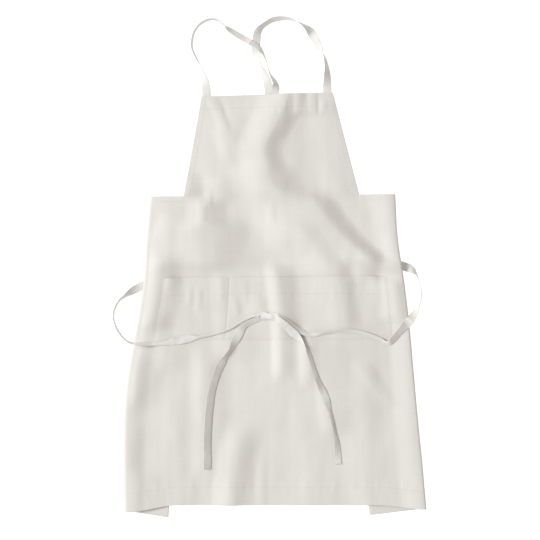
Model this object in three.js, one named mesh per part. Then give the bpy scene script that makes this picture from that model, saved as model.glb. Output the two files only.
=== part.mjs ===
// Linen cross-back apron laid face up on a table. Bib and skirt are one cloth whose two wings fold
// under at the sides. A patch pocket, two shoulder straps and two waist ties are sewn to it.
// Millimetres. +Z is up off the table, +Y runs towards the bib, and the origin is the middle of the
// footprint on the table. Left and right are as seen looking down on the face.
import * as THREE from "three";

// Cloth and tape
const clothThickness = 1.2;
const hemThickness = 2.0;
const tapeWidth = 18;
const tapeThickness = 1.4;
const seamGap = 0.4; // air kept between sewn layers
const tapeRest = 0.9; // air kept under a tape that lies on the cloth
const tapeClimb = 0.45; // steepest rise of a tape along its length

// Skirt, with its side folds listed at even steps from the hem up to the top edge
const skirtLeft = [-304, -306, -305, -297, -280, -264.5, -257.5, -249];
const skirtRight = [328, 320, 310.5, 302, 293.5, 282.5, 268.5, 263];
const hemY = -498.5;
const hemDroopLeft = 13.5;
const hemDroopRight = 8;
const hemDroopReach = 0.17; // share of the front's width
const skirtTopLeft = 147;
const skirtTopRight = 152;
const foldBulge = 8; // how far a side fold rounds out

// Bib above the skirt
const bibTop = { left: -142, right: 132, leftY: 357, rightY: 365 };

// Wings folded under the front: width at hem and top, and how far they slope down going inwards
const wings = {
  left: { hemWidth: 83, topWidth: 150, slope: 0.157 },
  right: { hemWidth: 109, topWidth: 165, slope: 0.1215 },
};
const wingLift = 2.2; // the top of a wing rests on its tie
const wingLiftFrom = 0.58;
const wingLiftTo = 0.68;

// Level of the front's cloth over the bare table and over a wing
const restHeight = 1.4;
const wingCover = 3.7;
const coverReach = 30;

// Pocket mouth standing open between its seams, closing towards the pocket's bottom
const pocketMouth = 9;
const pocketMouthCurve = 1.5;

// Half-knot of the two ties: each winds along it opposite the other, gathered narrow
const knot = {
  left: { x: -21, height: 16 },
  right: { x: 15, height: 23.5 },
  y: -103,
  radius: 4,
  tapeWidth: 7,
  halfTurns: 3,
  rowsPerHalfTurn: 4,
};

// Grid lines across the front and up it, as shares, with the cells up to the next line
const pocketLeft = 0.064;
const bibLeft = 0.123;
const bibLeftHem = 0.15;
const pocketDivision = 0.3226;
const bibRightHem = 0.83;
const bibRight = 0.857;
const pocketRight = 0.94;
const acrossLines = [
  { at: 0, cells: 2 },
  { at: pocketLeft, cells: 2 },
  { at: bibLeft, cells: 1 },
  { at: bibLeftHem, cells: 5 },
  { at: pocketDivision, cells: 15 },
  { at: bibRightHem, cells: 1 },
  { at: bibRight, cells: 2 },
  { at: pocketRight, cells: 2 },
  { at: 1, cells: 0 },
];
const hemLine = 0.062;
const pocketBottom = 0.534;
const pocketTop = 0.7375;
const skirtTopHem = 0.98;
const bibTopHem = 0.94;
const wingHem = 0.88;
const upLines = [
  { at: 0, cells: 2 },
  { at: hemLine, cells: 12 },
  { at: pocketBottom, cells: 6 },
  { at: pocketTop, cells: 7 },
  { at: skirtTopHem, cells: 1 },
  { at: 1, cells: 0 },
];
const bibLines = [
  { at: 0, cells: 9 },
  { at: bibTopHem, cells: 1 },
  { at: 1, cells: 0 },
];
const wingLines = [0, 0.3, 0.6, wingHem, 1];
const foldAngles = [60, 20, -20, -60];

// Folds of the front. The crest lists x at even steps from yTop down to yBottom. The cloth climbs to
// it over rise on its left and drops over fall on its right, and fade softens both ends.
const folds = [
  { yTop: 385, yBottom: 205, crest: [46, 30, 9, -11, -4], height: 12, rise: 75, fall: 42, fade: 44 },
  { yTop: 225, yBottom: 125, crest: [-13, 4, 20, 42, 64], height: 12, rise: 60, fall: 55, fade: 40 },
  { yTop: 150, yBottom: 0, crest: [80, 103, 128, 157, 194, 224], height: 12, rise: 80, fall: 58, fade: 40 },
  { yTop: 95, yBottom: -5, crest: [62, 87, 113, 140], height: 6, rise: 60, fall: 50, fade: 40 },
  { yTop: 350, yBottom: 150, crest: [-10, -10], height: 6, rise: 130, fall: 150, fade: 60 },
  { yTop: 200, yBottom: 40, crest: [-12, 8, 30, 50], height: 5, rise: 70, fall: 120, fade: 60 },
  { yTop: 172, yBottom: 85, crest: [-118, -134], height: 9, rise: 60, fall: 100, fade: 30 },
  { yTop: 95, yBottom: -5, crest: [-130, -126, -116], height: 12, rise: 110, fall: 115, fade: 40 },
  { yTop: 20, yBottom: -125, crest: [-222, -232, -246], height: 11, rise: 44, fall: 50, fade: 40 },
  { yTop: -105, yBottom: -265, crest: [-246, -260, -268], height: 6, rise: 30, fall: 52, fade: 50 },
  { yTop: -190, yBottom: -540, crest: [-284, -294, -298, -298], height: 4, rise: 24, fall: 36, fade: 40 },
  { yTop: 160, yBottom: -540, crest: [251, 265, 285, 298, 309, 324],
    height: 7, rise: 55, fall: 32, fade: 60 },
  { yTop: 0, yBottom: -130, crest: [13, 22, 28], height: 12, rise: 60, fall: 44, fade: 40 },
  { yTop: -115, yBottom: -225, crest: [26, 28, 26], height: 6, rise: 30, fall: 40, fade: 56 },
  { yTop: 5, yBottom: -145, crest: [138, 149, 158], height: 7, rise: 90, fall: 50, fade: 40 },
  { yTop: -140, yBottom: -235, crest: [84, 90], height: 7, rise: 40, fall: 100, fade: 60 },
  { yTop: -170, yBottom: -440, crest: [-132, -132], height: 7, rise: 75, fall: 40, fade: 60 },
  { yTop: -310, yBottom: -540, crest: [-40, -77, -88], height: 10, rise: 56, fall: 46, fade: 80 },
  { yTop: 420, yBottom: 318, crest: [122, 122], height: 1.9, rise: 40, fall: 40, fade: 30 },
  { yTop: 420, yBottom: 312, crest: [-132, -132], height: 1.9, rise: 40, fall: 40, fade: 30 },
];

// Routes of the tapes from their sewn starts. A roll of 0 lies flat and 90 stands on edge, and a
// positive roll lifts the side on the left of the way along. A row with width is creased lengthwise to
// that width. A row with under gives the height of the tape's underside where cloth hides it, the rows
// of the knot give the height of its middle, and every other row rests on what lies below it.
function knotRows(from, to, firstTurn, lastTurn, rollOf) {
  const count = knot.halfTurns * knot.rowsPerHalfTurn;
  return Array.from({ length: count + 1 }, (_, index) => {
    const share = index / count;
    const turn = mix(firstTurn, lastTurn, share);
    const angle = THREE.MathUtils.degToRad(turn);
    return {
      x: mix(from.x, to.x, share),
      y: knot.y + knot.radius * Math.cos(angle),
      roll: rollOf(turn),
      middle: mix(from.height, to.height, share) + knot.radius * Math.sin(angle),
      width: knot.tapeWidth,
    };
  });
}

const strapRightRoute = [
  { x: 122, y: 334, roll: 0, under: 0.2 },
  { x: 121, y: 352, roll: 0, under: 0.2 },
  { x: 121, y: 368, roll: 0, under: 0.2 },
  { x: 121, y: 381, roll: 12 },
  { x: 121, y: 401, roll: 38 },
  { x: 120, y: 418, roll: 50 },
  { x: 117, y: 435, roll: 62 },
  { x: 111, y: 449, roll: 66 },
  { x: 103, y: 464, roll: 42 },
  { x: 95, y: 479, roll: 24 },
  { x: 86, y: 494, roll: 20 },
  { x: 75, y: 504, roll: 48 },
  { x: 58, y: 514, roll: 72 },
  { x: 41, y: 520, roll: 70 },
  { x: 24, y: 521, roll: 62 },
  { x: 7, y: 518, roll: 56 },
  { x: -7, y: 510, roll: 64 },
  { x: -19, y: 501, roll: 76 },
  { x: -25, y: 491, roll: 50 },
  { x: -27, y: 481, roll: 14 },
  { x: -28, y: 467, roll: 4 },
  { x: -28, y: 454, roll: 50 },
  { x: -25, y: 441, roll: 76 },
  { x: -22, y: 428, roll: 78 },
  { x: -17, y: 416, roll: 66 },
  { x: -10, y: 403, roll: 40 },
  { x: -5, y: 388, roll: 20 },
  { x: -2, y: 374, roll: 4, under: 0.3 },
  { x: -2, y: 355, roll: 0, under: 0.3 },
  { x: -6, y: 326, roll: 0, under: 0.3 },
  { x: -12, y: 288, roll: 0, under: 0.3 },
  { x: -17, y: 246, roll: 0, under: 0.3 },
  { x: -28, y: 208, roll: 0, under: 0.3 },
  { x: -49, y: 174, roll: 0, under: 0.5 },
  { x: -68, y: 154, roll: 0, under: 1.5 },
  { x: -85, y: 138, roll: 0, under: 4.5 },
  { x: -103, y: 125, roll: 0, under: 4.6 },
  { x: -121, y: 113, roll: 0, under: 4.6 },
];
const strapLeftRoute = [
  { x: -132, y: 328, roll: 0, under: 0.2 },
  { x: -132, y: 346, roll: 0, under: 0.2 },
  { x: -132, y: 360, roll: 0, under: 0.2 },
  { x: -133, y: 376, roll: -12 },
  { x: -137, y: 397, roll: -52 },
  { x: -143, y: 418, roll: -74 },
  { x: -152, y: 435, roll: -84 },
  { x: -160, y: 452, roll: -86 },
  { x: -163, y: 468, roll: -86 },
  { x: -159, y: 489, roll: -86 },
  { x: -150, y: 504, roll: -86 },
  { x: -138, y: 514, roll: -84 },
  { x: -123, y: 519, roll: -82 },
  { x: -108, y: 517, roll: -84 },
  { x: -96, y: 507, roll: -75 },
  { x: -83, y: 497, roll: -48 },
  { x: -64, y: 485, roll: -42 },
  { x: -45, y: 474, roll: -38 },
  { x: -28, y: 463, roll: -34 },
  { x: -17, y: 452, roll: -60 },
  { x: -9, y: 437, roll: -78 },
  { x: -4, y: 420, roll: -76 },
  { x: 1, y: 405, roll: -70 },
  { x: 8, y: 393, roll: -62 },
  { x: 13, y: 383, roll: -50 },
  { x: 12, y: 372, roll: -14, under: 2.4 },
  { x: 6, y: 355, roll: -4, under: 2.4 },
  { x: -3, y: 326, roll: 0, under: 2.4 },
  { x: -8, y: 288, roll: 0, under: 2.4 },
  { x: -8, y: 246, roll: 0, under: 2.4 },
  { x: 3, y: 208, roll: 0, under: 2.0 },
  { x: 30, y: 172, roll: 0, under: 0.4 },
  { x: 60, y: 148, roll: 0, under: 2.6 },
  { x: 90, y: 132, roll: 0, under: 4.4 },
  { x: 115, y: 121, roll: 0, under: 4.4 },
];
const tieRightRoute = [
  { x: 104, y: 115, roll: 0, under: 0 },
  { x: 125, y: 101, roll: 0, under: 0 },
  { x: 159, y: 74, roll: 0, under: 0 },
  { x: 207, y: 36, roll: 0, under: 0 },
  { x: 249, y: 12, roll: 0, under: 0 },
  { x: 274, y: 4, roll: 0, under: 0 },
  { x: 289, y: -1, roll: -4, under: 0 },
  { x: 300, y: -7, roll: -40, under: 0.3 },
  { x: 307, y: -15, roll: -74 },
  { x: 312, y: -25, roll: -84 },
  { x: 317, y: -42, roll: -86 },
  { x: 318, y: -61, roll: -84 },
  { x: 314, y: -79, roll: -78 },
  { x: 307, y: -94, roll: -62 },
  { x: 296, y: -109, roll: -50 },
  { x: 284, y: -123, roll: -30 },
  { x: 271, y: -135, roll: 6 },
  { x: 260, y: -150, roll: 50 },
  { x: 252, y: -159, roll: 70 },
  { x: 242, y: -157, roll: 40, width: 8 },
  { x: 229, y: -150, roll: 0, width: 8 },
  { x: 211, y: -143, roll: -24, width: 8 },
  { x: 186, y: -136, roll: -26, width: 8 },
  { x: 161, y: -133, roll: -26, width: 8 },
  { x: 135, y: -135, roll: -20, width: 8 },
  { x: 110, y: -139, roll: 0, width: 8 },
  { x: 87, y: -142, roll: 22, width: 8 },
  { x: 70, y: -137, roll: 20, width: 12 },
  { x: 54, y: -126, roll: 20, width: 12 },
  { x: 33, y: -110, roll: 40, width: 10 },
  ...knotRows(knot.right, knot.left, 720, 180, (turn) => 90 - turn),
  { x: -33, y: -114, roll: 132, width: 12 },
  { x: -44, y: -121, roll: 148, width: 16 },
  { x: -60, y: -134, roll: 148 },
  { x: -75, y: -152, roll: 150 },
  { x: -87, y: -172, roll: 150 },
  { x: -99, y: -195, roll: 150 },
  { x: -109, y: -221, roll: 150 },
  { x: -118, y: -248, roll: 150 },
  { x: -124, y: -277, roll: 150 },
  { x: -127, y: -307, roll: 150 },
  { x: -129, y: -338, roll: 150 },
  { x: -130, y: -370, roll: 152 },
  { x: -130, y: -397, roll: 158 },
  { x: -130, y: -423, roll: 166 },
];
const tieLeftRoute = [
  { x: -106, y: 110, roll: 0, under: 0 },
  { x: -124, y: 90, roll: 0, under: 0 },
  { x: -154, y: 57, roll: 0, under: 0 },
  { x: -192, y: 17, roll: 0, under: 0 },
  { x: -230, y: -17, roll: 0, under: 0 },
  { x: -254, y: -33, roll: 0, under: 0 },
  { x: -272, y: -42, roll: -3, under: 0 },
  { x: -287, y: -50, roll: -34, under: 0.3 },
  { x: -302, y: -60, roll: -70 },
  { x: -315, y: -71, roll: -84 },
  { x: -324, y: -87, roll: -86 },
  { x: -327, y: -103, roll: -86 },
  { x: -324, y: -119, roll: -86 },
  { x: -317, y: -134, roll: -86 },
  { x: -306, y: -149, roll: -86 },
  { x: -291, y: -159, roll: -85 },
  { x: -272, y: -161, roll: -70 },
  { x: -247, y: -161, roll: -30, width: 8 },
  { x: -222, y: -160, roll: 0, width: 8 },
  { x: -201, y: -156, roll: 6, width: 16 },
  { x: -184, y: -153, roll: -4, width: 16 },
  { x: -167, y: -150, roll: 4, width: 16 },
  { x: -146, y: -147, roll: 22, width: 8 },
  { x: -121, y: -142, roll: 24, width: 8 },
  { x: -93, y: -134, roll: 22, width: 8 },
  { x: -70, y: -122, roll: 14, width: 8 },
  { x: -49, y: -110, roll: -20, width: 8 },
  { x: -34, y: -102, roll: -60, width: 8 },
  ...knotRows(knot.left, knot.right, 0, 540, (turn) => turn - 90),
  { x: 28, y: -119, roll: 44, width: 12 },
  { x: 42, y: -131, roll: 24 },
  { x: 57, y: -145, roll: 34 },
  { x: 69, y: -161, roll: 70, width: 10 },
  { x: 78, y: -180, roll: 146, width: 10 },
  { x: 85, y: -201, roll: 160, width: 10 },
  { x: 89, y: -218, roll: 160, width: 10 },
  { x: 97, y: -240, roll: 140, width: 15 },
  { x: 106, y: -263, roll: 170, width: 15 },
  { x: 112, y: -282, roll: 164, width: 15 },
  { x: 119, y: -302, roll: 156, width: 10 },
  { x: 126, y: -325, roll: 158, width: 10 },
  { x: 132, y: -350, roll: 158, width: 10 },
  { x: 136, y: -372, roll: 152, width: 14 },
  { x: 138, y: -393, roll: 166, width: 14 },
  { x: 138, y: -413, roll: 174, width: 14 },
];

// Smooth step from 0 to 1
function ease(share) {
  const held = Math.min(1, Math.max(0, share));
  return held * held * (3 - 2 * held);
}

function mix(from, to, share) {
  return from + (to - from) * share;
}

// Smooth curve through evenly spaced values
function along(values, share) {
  const place = Math.min(1, Math.max(0, share)) * (values.length - 1);
  const step = Math.min(values.length - 2, Math.floor(place));
  const near = values[step];
  const next = values[step + 1];
  const before = values[step - 1] ?? 2 * near - next;
  const after = values[step + 2] ?? 2 * next - near;
  const t = place - step;
  const slopes = (next - before) * t + (2 * before - 5 * near + 4 * next - after) * t ** 2;
  return near + 0.5 * (slopes + (3 * near - before - 3 * next + after) * t ** 3);
}

function foldHeight(fold, x, y) {
  const down = (fold.yTop - y) / (fold.yTop - fold.yBottom);
  const past = x - along(fold.crest, down);
  const reach = past < 0 ? fold.rise : fold.fall;
  const ends = ease((fold.yTop - y) / fold.fade + 0.5) * ease((y - fold.yBottom) / fold.fade + 0.5);
  return fold.height * ends * ease(1 - Math.abs(past) / reach);
}

// Share by which a wing lies under the front at a point
function wingShare(x, y) {
  const up = (y - hemY) / (skirtTopLeft - hemY);
  const leftInner = mix(skirtLeft[0] + wings.left.hemWidth, skirtLeft.at(-1) + wings.left.topWidth, up);
  const rightInner = mix(skirtRight[0] - wings.right.hemWidth, skirtRight.at(-1) - wings.right.topWidth, up);
  const beside = ease((leftInner - x) / coverReach + 1) + ease((x - rightInner) / coverReach + 1);
  return beside * ease((skirtTopLeft + coverReach - y) / coverReach);
}

// Middle of the front's cloth above the table
function frontHeight(x, y) {
  const level = restHeight + wingCover * wingShare(x, y);
  return folds.reduce((height, fold) => height + foldHeight(fold, x, y), level);
}

function frontPoint(across, up) {
  const left = along(skirtLeft, up) + foldBulge;
  const right = along(skirtRight, up) - foldBulge;
  const droop = hemDroopLeft * ease(1 - across / hemDroopReach)
    + hemDroopRight * ease(1 - (1 - across) / hemDroopReach);
  const x = mix(left, right, across);
  const y = mix(hemY - droop, mix(skirtTopLeft, skirtTopRight, across), up);
  return new THREE.Vector3(x, y, frontHeight(x, y));
}

function bibPoint(across, up) {
  const share = (across - bibLeft) / (bibRight - bibLeft);
  const base = frontPoint(across, 1);
  const x = mix(base.x, mix(bibTop.left, bibTop.right, share), up);
  const y = mix(base.y, mix(bibTop.leftY, bibTop.rightY, share), up);
  return new THREE.Vector3(x, y, frontHeight(x, y));
}

function wingHeight(up, thickness) {
  return thickness / 2 + wingLift * ease((up - wingLiftFrom) / (wingLiftTo - wingLiftFrom));
}

// Round of a side fold, from the front's edge down to its wing
function foldPoint(side, angle, up, thickness) {
  const outward = side === "left" ? -1 : 1;
  const edge = frontPoint(side === "left" ? 0 : 1, up);
  const low = wingHeight(up, thickness);
  const turn = THREE.MathUtils.degToRad(angle);
  const x = edge.x + outward * foldBulge * Math.cos(turn);
  return new THREE.Vector3(x, edge.y, mix(low, edge.z, 0.5 + 0.5 * Math.sin(turn)));
}

function wingPoint(side, inwards, up, thickness) {
  const outward = side === "left" ? -1 : 1;
  const wing = wings[side];
  const edge = frontPoint(side === "left" ? 0 : 1, up);
  const distance = inwards * mix(wing.hemWidth, wing.topWidth, up);
  const y = edge.y - distance * wing.slope;
  return new THREE.Vector3(edge.x - outward * distance, y, wingHeight(up, thickness));
}

// Grid places from lines with a number of even cells between them
function spread(lines) {
  return lines.flatMap((line, index) => {
    const next = lines[index + 1] ?? line;
    const count = Math.max(1, line.cells);
    return Array.from({ length: count }, (_, step) => mix(line.at, next.at, step / count));
  });
}

// Closed wall around a grid of points, thick along its own normals. Cells that are not cloth are
// left out, and a rim closes the wall along every free edge.
function clothWall(points, isCloth, thicknessAt) {
  const rows = points.length;
  const columns = points[0].length;
  const filled = (row, column) => row >= 0 && column >= 0 && row < rows - 1 && column < columns - 1
    && isCloth(row, column);
  const normals = points.map((line) => line.map(() => new THREE.Vector3()));
  const corners = (row, column) => [
    [row, column],
    [row, column + 1],
    [row + 1, column + 1],
    [row + 1, column],
  ];
  const cells = [];
  for (let row = 0; row < rows - 1; row += 1) {
    for (let column = 0; column < columns - 1; column += 1) {
      if (!filled(row, column)) {
        continue;
      }
      const square = corners(row, column);
      const [a, b, c, d] = square.map(([r, k]) => points[r][k]);
      const normal = c.clone().sub(a).cross(d.clone().sub(b)).normalize();
      square.forEach(([r, k]) => normals[r][k].add(normal));
      cells.push([row, column]);
    }
  }
  const places = [];
  const indexOf = new Map();
  const vertex = ([row, column], face) => {
    const key = `${row},${column},${face}`;
    if (!indexOf.has(key)) {
      const offset = normals[row][column].clone().setLength(face * thicknessAt(row, column) / 2);
      indexOf.set(key, places.length / 3);
      places.push(...points[row][column].clone().add(offset).toArray());
    }
    return indexOf.get(key);
  };
  const triangles = [];
  cells.forEach(([row, column]) => {
    const square = corners(row, column);
    const [a, b, c, d] = square.map((corner) => vertex(corner, 1));
    const [e, f, g, h] = square.map((corner) => vertex(corner, -1));
    triangles.push(a, b, c, a, c, d, e, g, f, e, h, g);
    const beside = [[row - 1, column], [row, column + 1], [row + 1, column], [row, column - 1]];
    beside.forEach(([r, k], edge) => {
      if (!filled(r, k)) {
        const [p, q] = [[a, b, c, d], [b, c, d, a]].map((list) => list[edge]);
        const [s, t] = [[e, f, g, h], [f, g, h, e]].map((list) => list[edge]);
        triangles.push(s, t, q, s, q, p);
      }
    });
  });
  const geometry = new THREE.BufferGeometry();
  geometry.setAttribute("position", new THREE.Float32BufferAttribute(places, 3));
  geometry.setIndex(triangles);
  geometry.computeVertexNormals();
  return geometry;
}

// Body: columns run from the left wing's free edge over the front to the right wing's free edge
const frontColumns = spread(acrossLines).map((at) => ({ zone: "front", at }));
const leftColumns = [
  ...wingLines.toReversed().map((at) => ({ zone: "wing", side: "left", at })),
  ...foldAngles.toReversed().map((at) => ({ zone: "fold", side: "left", at })),
];
const rightColumns = [
  ...foldAngles.map((at) => ({ zone: "fold", side: "right", at })),
  ...wingLines.map((at) => ({ zone: "wing", side: "right", at })),
];
const columns = [...leftColumns, ...frontColumns, ...rightColumns];
const skirtRows = spread(upLines).map((at) => ({ zone: "skirt", at }));
const bibRows = spread(bibLines).slice(1).map((at) => ({ zone: "bib", at }));
const rows = [...skirtRows, ...bibRows];

function inBib(column) {
  return column.zone === "front" && column.at >= bibLeft && column.at <= bibRight;
}

function bodyThickness(row, column) {
  const line = rows[row];
  const post = columns[column];
  const bibHem = inBib(post) && (post.at <= bibLeftHem || post.at >= bibRightHem || line.at >= bibTopHem);
  const freeHem = post.zone === "wing" && post.at >= wingHem;
  const skirtHem = line.at <= hemLine || freeHem || (line.at >= skirtTopHem && !inBib(post));
  return (line.zone === "bib" ? bibHem : skirtHem) ? hemThickness : clothThickness;
}

function bodyPoint(row, column) {
  const line = rows[row];
  const post = columns[column];
  if (line.zone === "bib") {
    return bibPoint(post.at, line.at);
  }
  if (post.zone === "front") {
    return frontPoint(post.at, line.at);
  }
  const shape = post.zone === "wing" ? wingPoint : foldPoint;
  return shape(post.side, post.at, line.at, bodyThickness(row, column));
}

const bodyPoints = rows.map((_, row) => columns.map((_, column) => bodyPoint(row, column)));
const isBody = (row, column) => rows[row + 1].zone === "skirt"
  || (inBib(columns[column]) && inBib(columns[column + 1]));
const bodyGeometry = clothWall(bodyPoints, isBody, bodyThickness);

// Pocket: the front's own grid lines lifted off the front, open along its top edge
function pocketLift(across, up) {
  const start = across < pocketDivision ? pocketLeft : pocketDivision;
  const end = across < pocketDivision ? pocketDivision : pocketRight;
  const between = (across - start) / (end - start);
  const height = (up - pocketBottom) / (pocketTop - pocketBottom);
  return clothThickness + seamGap + pocketMouth * Math.sin(Math.PI * between) * height ** pocketMouthCurve;
}

const pocketColumns = spread(acrossLines).filter((at) => at >= pocketLeft && at <= pocketRight);
const pocketRows = spread(upLines).filter((at) => at >= pocketBottom && at <= pocketTop);
const pocketPoints = pocketRows.map((up) => pocketColumns.map((across) => {
  const point = frontPoint(across, up);
  point.z += pocketLift(across, up);
  return point;
}));
const pocketGeometry = clothWall(pocketPoints, () => true, () => clothThickness);

// Tapes: a flat strip carried along its route, resting on whatever has been laid before it
const stepsPerRow = 2;
const aboveAll = 200;
const plumb = new THREE.Raycaster();
const down = new THREE.Vector3(0, 0, -1);

function heightBelow(x, y, beds) {
  plumb.set(new THREE.Vector3(x, y, aboveAll), down);
  const hits = plumb.intersectObjects(beds, false);
  return hits.length > 0 ? hits[0].point.z : 0;
}

// Rolls without jumps, since a strip turned by half a turn is the same strip
function steadyRolls(route) {
  let last = route[0].roll;
  return route.map(({ roll }) => {
    last = roll + 180 * Math.round((last - roll) / 180);
    return last;
  });
}

function tapeGeometry(route, beds) {
  const rolls = steadyRolls(route);
  const posts = route.map(({ x, y }, index) => new THREE.Vector3(x, y, rolls[index]));
  const curve = new THREE.CatmullRomCurve3(posts, false, "catmullrom", 0.5);
  const count = (route.length - 1) * stepsPerRow;
  const path = Array.from({ length: count + 1 }, (_, step) => {
    const place = curve.getPoint(step / count);
    const way = curve.getTangent(step / count).setZ(0).normalize();
    const aside = new THREE.Vector3(-way.y, way.x, 0);
    const roll = THREE.MathUtils.degToRad(place.z);
    const [flat, upright] = [Math.abs(Math.cos(roll)), Math.abs(Math.sin(roll))];
    const row = route[Math.floor(step / stepsPerRow)];
    const next = route[Math.ceil(step / stepsPerRow)];
    const width = ((row.width ?? tapeWidth) + (next.width ?? tapeWidth)) / 2;
    const reach = (flat * width + upright * tapeThickness) / 2;
    const stand = (upright * width + flat * tapeThickness) / 2;
    const middle = (row.middle + next.middle) / 2; // not a number unless both rows give it
    const given = Number.isNaN(middle) ? (row.under + next.under) / 2 + stand : middle;
    const beneath = [-1, -0.5, 0, 0.5, 1].map((share) => {
      const side = aside.clone().multiplyScalar(share * reach);
      return heightBelow(place.x + side.x, place.y + side.y, beds);
    });
    const fixed = !Number.isNaN(given);
    const height = fixed ? given : Math.max(...beneath) + tapeRest + stand;
    return { place, aside, roll, width, fixed, height };
  });
  const keepSlope = (point, other) => {
    const run = Math.hypot(point.place.x - other.place.x, point.place.y - other.place.y);
    if (!point.fixed) {
      point.height = Math.max(point.height, other.height - tapeClimb * run);
    }
  };
  for (let step = 1; step <= count; step += 1) {
    keepSlope(path[step], path[step - 1]);
  }
  for (let step = count - 1; step >= 0; step -= 1) {
    keepSlope(path[step], path[step + 1]);
  }
  const points = path.map(({ place, aside, roll, width, height }) => [1, -1].map((side) => {
    const half = side * width / 2;
    const flat = aside.clone().multiplyScalar(half * Math.cos(roll));
    return new THREE.Vector3(place.x + flat.x, place.y + flat.y, height + half * Math.sin(roll));
  }));
  return clothWall(points, () => true, () => tapeThickness);
}

function clothPart(name, geometry, color) {
  const part = new THREE.Mesh(geometry, new THREE.MeshStandardMaterial({ color, roughness: 0.9 }));
  part.name = name;
  part.updateMatrixWorld();
  return part;
}

const body = clothPart("apron_body", bodyGeometry, 0xe0dcd7);
const pocket = clothPart("pocket", pocketGeometry, 0xddd8d2);
const laid = [body, pocket];
const tapes = [
  { name: "strap_right", route: strapRightRoute },
  { name: "strap_left", route: strapLeftRoute },
  { name: "tie_right", route: tieRightRoute },
  { name: "tie_left", route: tieLeftRoute },
];
tapes.forEach(({ name, route }) => {
  laid.push(clothPart(name, tapeGeometry(route, laid), 0xd6d0c8));
});

const group = new THREE.Group();
group.name = "apron";
group.add(...laid);
export default group;
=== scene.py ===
import bpy
import numpy as np
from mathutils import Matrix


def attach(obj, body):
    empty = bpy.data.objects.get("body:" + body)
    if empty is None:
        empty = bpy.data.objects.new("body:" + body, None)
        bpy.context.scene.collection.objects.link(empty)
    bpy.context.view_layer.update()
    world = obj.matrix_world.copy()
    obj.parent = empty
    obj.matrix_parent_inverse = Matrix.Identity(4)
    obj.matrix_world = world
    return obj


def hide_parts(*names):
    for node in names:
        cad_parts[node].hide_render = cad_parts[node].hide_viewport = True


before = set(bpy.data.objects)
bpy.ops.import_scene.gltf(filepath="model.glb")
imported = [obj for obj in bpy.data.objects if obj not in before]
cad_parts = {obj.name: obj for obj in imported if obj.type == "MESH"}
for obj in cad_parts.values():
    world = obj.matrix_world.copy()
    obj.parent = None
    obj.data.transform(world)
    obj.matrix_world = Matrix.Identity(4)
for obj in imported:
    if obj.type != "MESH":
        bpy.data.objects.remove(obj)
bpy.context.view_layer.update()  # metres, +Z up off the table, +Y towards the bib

mm = 0.001  # the shapes below are worked out in millimetres
print("frame loaded:", sorted(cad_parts))


# Small maths on whole arrays

tiny = 1e-9  # keeps a division off zero
nearly = 1e-6  # slack where two places are compared
lattice = {"cells": 61, "gain": 1.6}  # cells before the noise repeats, and what brings it to about -1 to 1


def ease(share):
    # smooth step, three s squared less two s cubed, of a share held between 0 and 1
    held = np.clip(share, 0, 1)
    return held * held * (3 - 2 * held)


def mix(first, second, share):
    # straight line from first to second
    return first + (second - first) * share


def along(values, share):
    # smooth curve through values at even steps: the cubic whose slope at a value is half the way
    # from the value before it to the value after it
    values = np.asarray(values, float)
    ends = [2 * values[:1] - values[1:2], values, 2 * values[-1:] - values[-2:-1]]
    posts = np.concatenate(ends)
    place = np.clip(share, 0, 1) * (len(values) - 1)
    step = np.minimum(place.astype(int), len(values) - 2)
    t = place - step
    if values.ndim > 1:
        t = t[..., None]
    a, b, c, d = (posts[step + k] for k in range(4))
    bend = (2 * a - 5 * b + 4 * c - d) * t**2 + (3 * b - a - 3 * c + d) * t**3
    return b + 0.5 * ((c - a) * t + bend)


def softNoise(x, y, size, seed):
    # random slopes on a lattice of cells, each corner's slope times the way to it, blended smoothly
    cells = lattice["cells"]
    turn = np.random.default_rng(seed).uniform(0, 2 * np.pi, (cells, cells))
    u = np.asarray(x, float) / size[0]
    v = np.asarray(y, float) / size[1]
    i = np.floor(u).astype(int)
    j = np.floor(v).astype(int)
    s = u - i
    t = v - j

    def corner(a, b):
        angle = turn[(i + a) % cells, (j + b) % cells]
        return np.cos(angle) * (s - a) + np.sin(angle) * (t - b)

    lower = mix(corner(0, 0), corner(1, 0), ease(s))
    upper = mix(corner(0, 1), corner(1, 1), ease(s))
    return lattice["gain"] * mix(lower, upper, ease(t))


def unit(vectors):
    # each vector over its own length
    return vectors / np.maximum(np.linalg.norm(vectors, axis=-1, keepdims=True), tiny)


def spread(lines):
    # places from lines (at, cells), with that many even cells up to the next line
    places = [np.linspace(a[0], b[0], a[1], endpoint=False) for a, b in zip(lines[:-1], lines[1:])]
    return np.concatenate(places + [[lines[-1][0]]])


# Camera, straight down over the middle of the photograph's frame

photoView = {
    "middle": (1.05, -6.3),
    "height": 3500,
    "width": 1134,  # what the frame takes in on the table
    "sensor": 36,
    "clipEnd": 100,  # metres
}


def makeCamera():
    # the lens is to the sensor as the camera's height is to the width that it takes in
    data = bpy.data.cameras.new("photo_view")
    data.sensor_width = photoView["sensor"]
    data.lens = photoView["sensor"] * photoView["height"] / photoView["width"]
    data.clip_end = photoView["clipEnd"]
    camera = bpy.data.objects.new("photo_view", data)
    camera.location = [value * mm for value in (*photoView["middle"], photoView["height"])]
    bpy.context.scene.collection.objects.link(camera)
    bpy.context.scene.camera = camera


makeCamera()


# Light and floor: a wide window far to the left and an even white room

studio = {
    "windowTilt": 47,  # degrees down from straight overhead
    "windowTurn": 173,  # degrees round from +X, so it is on the left and a little towards the bib end
    "windowFar": 13500,
    "windowWide": 5740,
    "windowStrength": 2.62,  # on a sheet facing it at the middle of the apron
    "windowColour": (0.945, 0.978, 1.0),
    "roomStrength": 0.55,
    "roomColour": (1.0, 0.958, 0.93),
    "floorSize": 40000,
    "floorDrop": 0.3,
    "floorColour": (0.3, 0.3, 0.3),
    "floorGlow": 0.95,
}


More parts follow.
